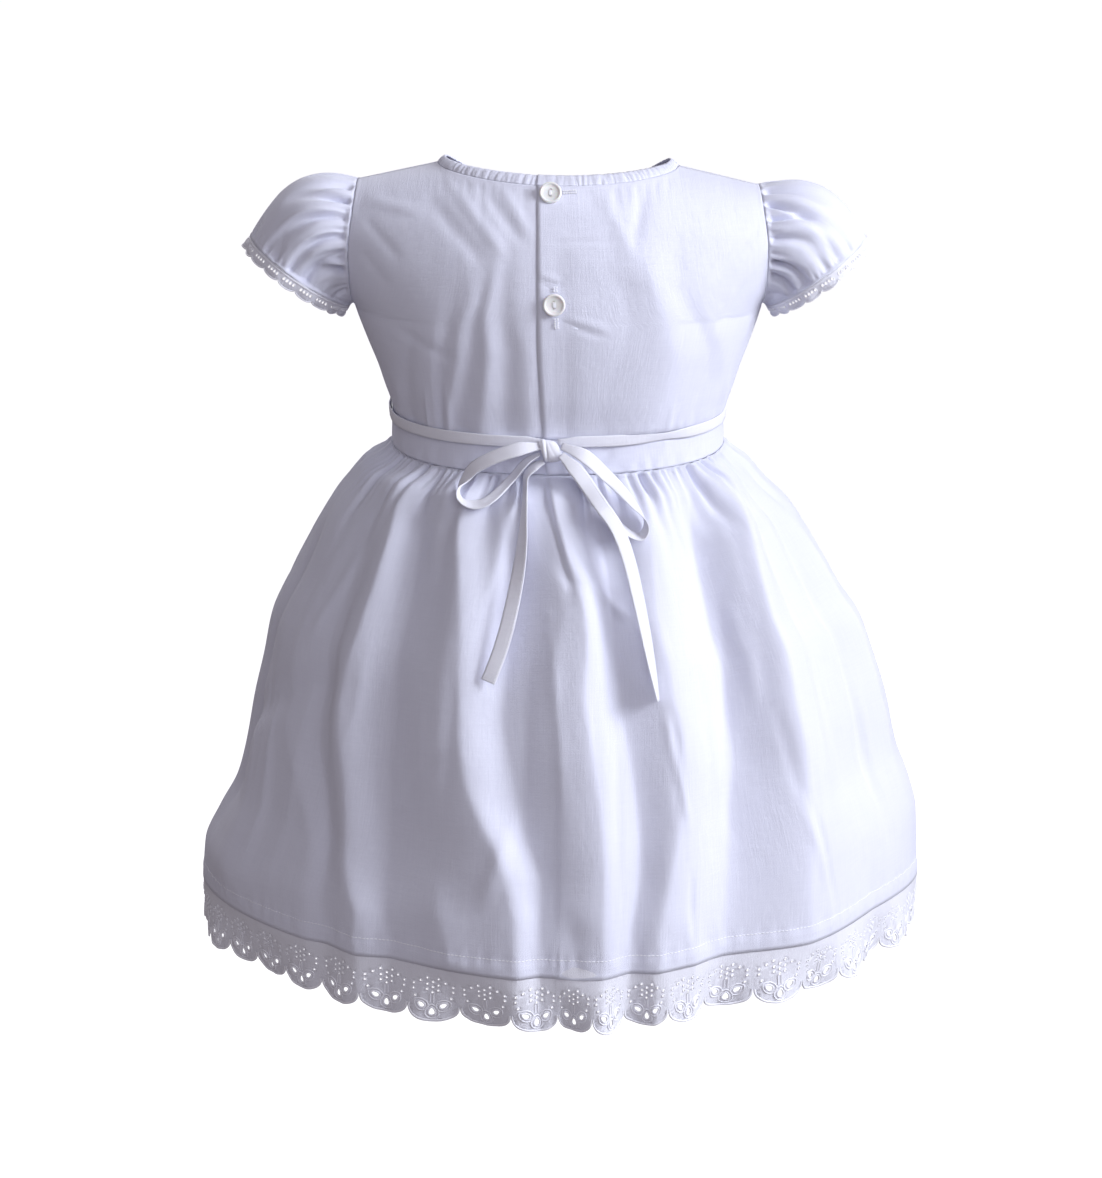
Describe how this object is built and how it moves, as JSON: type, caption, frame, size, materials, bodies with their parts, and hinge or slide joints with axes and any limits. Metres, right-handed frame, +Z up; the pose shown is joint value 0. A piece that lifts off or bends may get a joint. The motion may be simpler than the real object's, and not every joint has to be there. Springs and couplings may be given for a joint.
{
  "type": "toddler dress",
  "caption": "Toddler's cotton dress with puffed cap sleeves, a buttoned back, a gathered skirt, eyelet lace at hem and cuffs, and a narrow bow tie at the waist.",
  "frame": {"origin": "middle of the neck opening, level with the inner ends of the shoulder seams, where the wearer holds the dress up", "axes": "+Z up, the buttoned back faces -Y, the front faces +Y, and +X is to the right of someone who looks at the back"},
  "size_m": [0.4347, 0.3401, 0.4697],
  "materials": {
    "cotton": "plain woven cotton lawn, soft matt with a slight sheen",
    "eyelet_lace": "cotton eyelet lace with corded edges",
    "cotton_tape": "folded and edge-stitched cotton tie",
    "button": "pearly off-white resin"
  },
  "bodies": {
    "root": {"bodice_front": "cotton", "bodice_back_left": "cotton", "bodice_back_right": "cotton", "neck_binding": "cotton", "sleeve_left": "cotton", "sleeve_right": "cotton", "sleeve_lace_left": "eyelet_lace", "sleeve_lace_right": "eyelet_lace", "waistband_front": "cotton", "waistband_back_left": "cotton", "waistband_back_right": "cotton", "skirt_front": "cotton", "skirt_back": "cotton", "hem_lace_front": "eyelet_lace", "hem_lace_back": "eyelet_lace", "button_top": "button", "button_lower": "button", "tie_run_left": "cotton_tape", "tie_run_right": "cotton_tape", "tie_knot": "cotton_tape", "tie_loop_left": "cotton_tape", "tie_loop_right": "cotton_tape", "tie_tail_left": "cotton_tape", "tie_tail_right": "cotton_tape"}
  },
  "joints": []
}
